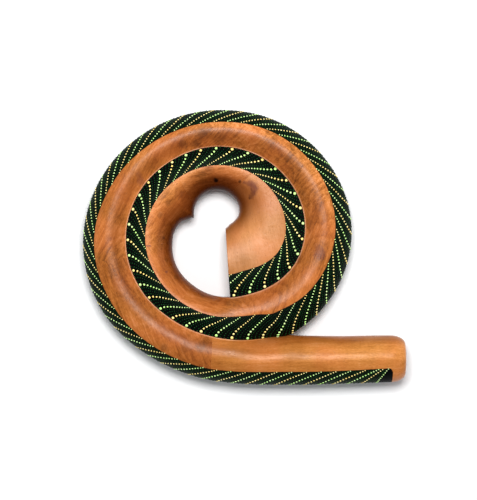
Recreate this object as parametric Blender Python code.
"""Spiral travel didgeridoo.

A wooden air column is rolled up into a flat spiral: a straight mouth end, one
full outer coil, an inner coil and a wide bell that opens into the middle of
the spiral.  The upper and the lower half of the tube are separate half pipes
that meet on a flat glue plane at mid height, and each half is a row of
hardwood blocks butted end to end.  The joints of the two halves are staggered
like brickwork.  Neighbouring coils touch along flat glue faces under the
groove between them.

+Z is up, the spiral lies flat on z = 0 and the mouth end points to +X.
Dimensions are in millimetres; MM turns the finished points into metres.

Places along the tube are given by a path coordinate: degrees travelled round
the spiral, clockwise seen from above, with 90 at -Y.
"""

import math
from bisect import bisect_right

import bpy
import bmesh
from mathutils import Vector

MM = 0.001
TURN = 360.0

# ---------------------------------------------------------------- dimensions
CENTRE = Vector((-32.25, 5.3625))  # centre of the spiral in the part's frame
HALF_HEIGHT = 28.0         # stock thickness of each half
GLUE_GAP = 0.3             # clearance left at every glued face
HALF_GAP = GLUE_GAP / 2
LAND_ANGLE = math.radians(8.0)  # half angle of the narrow flat along the crest
SIDE_FLAT = 5.0            # half height of the flat on a free side
GROOVE_LEVEL = 19.0        # height of the groove floor above the glue plane
NOTCH_RUN = 30.0           # path over which the groove deepens from the notch
BELL_RUN = 22.5            # path over which it runs out past the bell rim

# straight mouth end
MOUTH_X = 228.5            # mouth rim, measured from the spiral's centre
MM_PER_STEP = 2.4          # length of tube per unit of the path coordinate
RIM_LENGTH = 17.0          # bullnose of the mouth rim, along the tube
RIM_DEPTH = 9.5            # and across it
RIM_ANGLES = (0.0, 24.0, 46.0, 68.0, 90.0)  # sections round the bullnose

# path coordinates
PATH_FREE = 52.5           # the mouth end is free of the coil before this
PATH_COIL = 90.0           # the straight mouth end runs into the coil
PATH_NOTCH = PATH_FREE + TURN  # the same notch, met again one turn later
PATH_CUSP = 585.0          # the round finger hole cuts the inner coil
PATH_BELL = 797.0          # bell rim

# facets
GRID = 7.5                 # angular step of the coil, degrees
MIN_STEP = 1.0             # least path between a grid station and a joint
CREST_STEPS = 5            # facets from the crest to either side
BORE_STEPS = 12            # facets round the half bore
BORE_STEPS = BORE_STEPS // 2
SHARP_ANGLE = math.radians(32)

# Radius of the spiral's edge: outer silhouette, then the groove between the
# coils, then the edge of the centre opening.  (path coordinate, radius)
EDGE = (
    (90, 168.4), (105, 163.2), (120, 161.0), (150, 163.0), (180, 164.0),
    (210, 162.6), (240, 161.0), (270, 162.0), (300, 165.5), (330, 166.4),
    (345, 165.6), (360, 162.6), (375, 157.4), (390, 151.4), (405, 145.0),
    (412.5, 141.5), (420, 132.4), (427.5, 126.4), (435, 121.8),
    (450, 114.6), (480, 107.8), (510, 108.4),
    (540, 110.8), (570, 112.6), (600, 114.0), (630, 116.6), (660, 116.2),
    (690, 112.6), (705, 109.0), (720, 103.8), (735, 96.8), (750, 88.0),
    (765, 79.2), (780, 72.2), (795, 68.2), (810, 65.0), (840, 59.6),
    (870, 57.5), (900, 55.2), (920, 53.8), (930, 51.2), (938, 46.8),
    (948, 42.0),
)

# Edges of the straight mouth end, from the spiral's centre: (x, distance to -Y)
MOUTH_OUTER = ((0, 168.4), (23, 171.0), (46, 172.2), (100, 172.6),
               (150, 171.4), (190, 170.2), (MOUTH_X, 169.4))
MOUTH_INNER = ((86, 112.3), (100, 112.8), (150, 113.6), (200, 112.8),
               (MOUTH_X, 113.0))

# Round finger hole on the +Y side of the bell: centre, and the bell's inner
# edge as it turns round the hole (path coordinate, angle about the hole, radius).
HOLE = Vector((-1.1, 36.6))
HOLE_TURN = (
    (585, 192, 28.4), (592.5, 180, 27.8), (600, 165, 27.8), (615, 127, 27.8),
    (630, 93, 27.8), (645, 75, 27.8), (660, 57, 27.8), (675, 38, 28.0),
    (690, 18, 28.2), (705, 0, 27.0), (720, -13, 25.4), (735, -25, 23.2),
    (750, -37, 21.4), (775, -50, 21.3), (PATH_BELL, -60.7, 21.7),
)
CUSP_START, CUSP_END = 540.0, 628.0  # stretch of path narrowed near the cusp
CUSP_LIMIT = 31.5          # greatest outer half width of the tube there

# Half height of the tube: (path coordinate, half height)
TUBE_HALF_HEIGHT = ((-20, HALF_HEIGHT), (190, HALF_HEIGHT), (270, 26.5),
                    (350, HALF_HEIGHT), (PATH_BELL, HALF_HEIGHT))

# Air column: (path coordinate, half width, half height)
BORE = ((-6, 15.0, 15.0), (90, 16.5, 16.0), (270, 15.5, 16.5),
        (360, 19.0, 17.5), (450, 17.0, 17.0), (540, 19.0, 18.0),
        (630, 18.5, 18.5), (690, 27.0, 20.0), (750, 37.5, 21.5),
        (PATH_BELL, 37.0, 22.0))

# How far the crest leans from the middle of the section, towards the centre
# of the spiral: (path coordinate, lean)
LEAN = ((52, 0.0), (90, 0.0), (180, -0.6), (270, -1.4), (360, -1.0),
        (420, 1.0), (450, 3.0), (500, 2.6), (560, 1.6), (620, 0.6),
        (670, 0.0))

# Exponent of the section: 2 is an ellipse, more is squarer.
# (path coordinate, exponent)
FULLNESS = ((-6, 2.0), (630, 2.0), (690, 2.15), (750, 2.35), (PATH_BELL, 2.4))

# Blocks of each half from the mouth to the bell, and the path coordinate at
# which each one ends.
BLOCKS = (
    "mouth_block",
    *(f"outer_coil_block_{number}" for number in range(1, 5)),
    *(f"inner_coil_block_{number}" for number in range(1, 5)),
    "bell_block",
)
UPPER_ENDS = (93.0, 171.0, 254.6, 338.4, 425.0, 482.0, 539.0, 600.0, 661.0, PATH_BELL)
LOWER_ENDS = (57.0, 132.0, 213.0, 296.0, 382.0, 453.0, 510.0, 570.0, 632.0, PATH_BELL)

WOOD_COLOURS = (
    (0.46, 0.200, 0.078), (0.40, 0.165, 0.060), (0.50, 0.225, 0.092),
    (0.43, 0.180, 0.068), (0.48, 0.235, 0.105),
)
WOOD_ROUGHNESS = 0.38


# ------------------------------------------------------------ path and edges
def curve(table, place, column=1):
    """Smooth value of a dimension table (cubic through the stations)."""
    columns = list(zip(*table))
    places, values = columns[0], columns[column]
    if place <= places[0]:
        return values[0]
    if place >= places[-1]:
        return values[-1]

    def chord(k):
        return (values[k + 1] - values[k]) / (places[k + 1] - places[k])

    def slope(k):
        if k == 0:
            return chord(0)
        if k == len(places) - 1:
            return chord(k - 1)
        before = places[k] - places[k - 1]
        after = places[k + 1] - places[k]
        return (chord(k - 1) * after + chord(k) * before) / (before + after)

    i = bisect_right(places, place) - 1
    span = places[i + 1] - places[i]
    s = (place - places[i]) / span
    return ((2 * s**3 - 3 * s**2 + 1) * values[i]
            + (s**3 - 2 * s**2 + s) * slope(i) * span
            + (3 * s**2 - 2 * s**3) * values[i + 1]
            + (s**3 - s**2) * slope(i + 1) * span)


def clamp(value):
    return min(1.0, max(0.0, value))


def polar(path, radius):
    """Point of the spiral at a path coordinate, from the spiral's centre."""
    angle = -math.radians(path)
    return Vector((radius * math.cos(angle), radius * math.sin(angle)))


def edge_point(path, offset=0.0):
    """Point of the spiral's edge on its faceted outline.  The same facets
    serve both sides of a groove, so the glue faces stay parallel."""
    low = math.floor(path / GRID) * GRID
    high = low + GRID
    corner = polar(low, curve(EDGE, low) + offset)
    if path - low < 1e-9:
        return corner
    facet = polar(high, curve(EDGE, high) + offset) - corner
    ray = polar(path, 1.0)
    # where the ray from the centre meets the facet
    share = ((corner.x * ray.y - corner.y * ray.x)
             / (facet.y * ray.x - facet.x * ray.y))
    return corner + facet * share


NOTCH_X = edge_point(PATH_NOTCH).x
PATH_MOUTH = PATH_FREE - (MOUTH_X - NOTCH_X) / MM_PER_STEP  # mouth rim


def groove_level(path):
    """Height of the groove floor, which rises smoothly from the notch."""
    s = clamp((path - PATH_NOTCH) / NOTCH_RUN)
    return SIDE_FLAT + (GROOVE_LEVEL - SIDE_FLAT) * s * s * (3 - 2 * s)


def side_edges(path):
    """Inner and outer edge point of the tube, and the heights above the glue
    plane at which the rounding of the two sides ends."""
    if path < PATH_FREE:
        x = NOTCH_X + (PATH_FREE - path) * MM_PER_STEP
        return (Vector((x, -curve(MOUTH_INNER, x))),
                Vector((x, -curve(MOUTH_OUTER, x))), SIDE_FLAT, SIDE_FLAT)
    if path < PATH_COIL:
        inner = edge_point(path + TURN, HALF_GAP)
        outer = Vector((inner.x, -curve(MOUTH_OUTER, inner.x)))
        return inner, outer, groove_level(path + TURN), SIDE_FLAT

    if path <= PATH_NOTCH:
        outer = edge_point(path)
    else:
        outer = edge_point(path, -HALF_GAP)
    if path < PATH_CUSP:
        inner = edge_point(path + TURN, HALF_GAP)
        s = clamp((path + TURN - PATH_BELL) / BELL_RUN)
        inner_level = GROOVE_LEVEL + (SIDE_FLAT - GROOVE_LEVEL) * s
    else:
        angle = math.radians(curve(HOLE_TURN, path, column=1))
        radius = curve(HOLE_TURN, path, column=2)
        inner = HOLE + radius * Vector((math.cos(angle), math.sin(angle)))
        inner_level = SIDE_FLAT
    return inner, outer, inner_level, groove_level(path)


# ------------------------------------------------------------------ sections
def crest_factor(fullness):
    """Height of the full rounding over the height of its flattened crest."""
    return 1.0 / (1.0 - math.sin(LAND_ANGLE)**fullness)**(1.0 / fullness)


def side_ratio(level, fullness):
    """Share of the half width at which the section is cut at a height."""
    full_height = HALF_HEIGHT * crest_factor(fullness)
    return (1.0 - (level / full_height)**fullness)**(1.0 / fullness)


def skin(half_width, height, fullness, side_angle, shrink):
    """Outside of the section from the crest to one side, as (u, z) points
    with u measured from the crest."""
    points = []
    for i in range(CREST_STEPS + 1):
        angle = LAND_ANGLE + (side_angle - LAND_ANGLE) * i / CREST_STEPS
        s = math.sin(angle)
        z = height * crest_factor(fullness) * (1.0 - s**fullness)**(1.0 / fullness)
        z = min(height, z)
        points.append(((half_width - shrink) * s, z * (1.0 - shrink / height)))
    return points


def bore(path, middle):
    """Half of the air column, from its outer to its inner side."""
    half_width = curve(BORE, path, column=1)
    half_height = curve(BORE, path, column=2)
    points = []
    for i in range(BORE_STEPS + 1):
        angle = math.pi * i / BORE_STEPS
        z = HALF_GAP if i in (0, BORE_STEPS) else half_height * math.sin(angle)
        points.append((middle + half_width * math.cos(angle), z))
    return points


def section(path, side, shift=0.0, shrink=0.0):
    """Closed section of one half pipe, as points of the part's frame.
    side is +1 for the upper half and -1 for the lower half.  shift moves the
    section along the tube; shrink pulls its outside in, for a rounded rim."""
    inner, outer, inner_level, outer_level = side_edges(path)
    fullness = curve(FULLNESS, path)
    width = (outer - inner).length
    across = (outer - inner) / width
    along = Vector((across.y, -across.x))     # towards the bell

    inner_ratio = side_ratio(inner_level, fullness)
    outer_ratio = side_ratio(outer_level, fullness)
    outer_half = width / (inner_ratio + outer_ratio) + curve(LEAN, path)
    if CUSP_START < path < CUSP_END:
        outer_half = min(outer_half, CUSP_LIMIT)
    inner_half = (width - outer_ratio * outer_half) / inner_ratio
    crest = outer - across * (outer_ratio * outer_half)
    # the cubic rises a little above its stations, the stock does not
    height = min(HALF_HEIGHT, curve(TUBE_HALF_HEIGHT, path))

    inner_skin = skin(inner_half, height, fullness, math.asin(inner_ratio), shrink)
    outer_skin = skin(outer_half, height, fullness, math.asin(outer_ratio), shrink)
    inner_u = -inner_skin[-1][0]
    outer_u = outer_skin[-1][0]
    profile = [
        (inner_u, HALF_GAP),
        *((-u, z) for u, z in reversed(inner_skin)),
        *outer_skin,
        (outer_u, HALF_GAP),
        *bore(path, (inner_u + outer_u) / 2),
    ]
    points = []
    for u, z in profile:
        flat = crest + across * u + along * shift + CENTRE
        points.append(Vector((flat.x, flat.y, HALF_HEIGHT + side * z)) * MM)
    return points


# -------------------------------------------------------------------- blocks
def rim_sections(side):
    """Rounded mouth rim: steps of a quarter ellipse."""
    sections = []
    for degrees in RIM_ANGLES:
        angle = math.radians(degrees)
        back = RIM_LENGTH * (1 - math.cos(angle)) / MM_PER_STEP
        pull = RIM_DEPTH * (1 - math.sin(angle))
        sections.append(section(PATH_MOUTH + back, side, shrink=pull))
    return sections


def block_sections(start, end, side):
    """Sections of a block: its two ends and the grid stations between."""
    first = start + MIN_STEP
    if start == PATH_MOUTH:
        sections = rim_sections(side)
        first += RIM_LENGTH / MM_PER_STEP
    else:
        sections = [section(start, side, shift=HALF_GAP)]

    path = math.floor(start / GRID) * GRID
    while path < end - MIN_STEP:
        if path > first:
            sections.append(section(path, side))
        path += GRID

    end_shift = -HALF_GAP if end < PATH_BELL else 0.0
    sections.append(section(end, side, shift=end_shift))
    return sections


def block_mesh(name, sections, origin):
    """Solid skinned over the sections, closed by a flat face at each end."""
    bm = bmesh.new()
    loops = [[bm.verts.new(point - origin) for point in points] for points in sections]
    count = len(loops[0])
    for near, far in zip(loops, loops[1:]):
        for i in range(count):
            j = (i + 1) % count
            bm.faces.new((near[i], near[j], far[j], far[i]))
    bm.faces.new(list(reversed(loops[0])))
    bm.faces.new(loops[-1])
    bmesh.ops.recalc_face_normals(bm, faces=bm.faces)
    mesh = bpy.data.meshes.new(name)
    bm.to_mesh(mesh)
    bm.free()
    mesh.shade_smooth()
    mesh.set_sharp_from_angle(angle=SHARP_ANGLE)
    return mesh


def wood(name, colour):
    material = bpy.data.materials.new(name)
    material.use_nodes = True
    inputs = material.node_tree.nodes["Principled BSDF"].inputs
    inputs["Base Color"].default_value = (*colour, 1.0)
    inputs["Roughness"].default_value = WOOD_ROUGHNESS
    inputs["Metallic"].default_value = 0.0
    return material


def build_block(name, start, end, side, colour, parent):
    """One glued block: a half pipe with its origin on the glue plane."""
    sections = block_sections(start, end, side)
    centres = [sum(points, Vector((0, 0, 0))) / len(points) for points in sections]
    origin = sum(centres, Vector((0, 0, 0))) / len(centres)
    origin.z = HALF_HEIGHT * MM

    mesh = block_mesh(name, sections, origin)
    mesh.materials.append(wood(name + "_wood", colour))
    block = bpy.data.objects.new(name, mesh)
    block.location = origin
    bpy.context.scene.collection.objects.link(block)
    block.parent = parent


def build_half(prefix, side, ends, first_colour, parent):
    """Row of blocks of one half, from the mouth to the bell."""
    start = PATH_MOUTH
    for index, (block, end) in enumerate(zip(BLOCKS, ends)):
        colour = WOOD_COLOURS[(index * 2 + first_colour) % len(WOOD_COLOURS)]
        build_block(f"{prefix}_{block}", start, end, side, colour, parent)
        start = end


def main():
    for item in list(bpy.data.objects):
        bpy.data.objects.remove(item, do_unlink=True)

    root = bpy.data.objects.new("didgeridoo", None)
    bpy.context.scene.collection.objects.link(root)
    build_half("upper", side=1, ends=UPPER_ENDS, first_colour=0, parent=root)
    build_half("lower", side=-1, ends=LOWER_ENDS, first_colour=1, parent=root)


main()
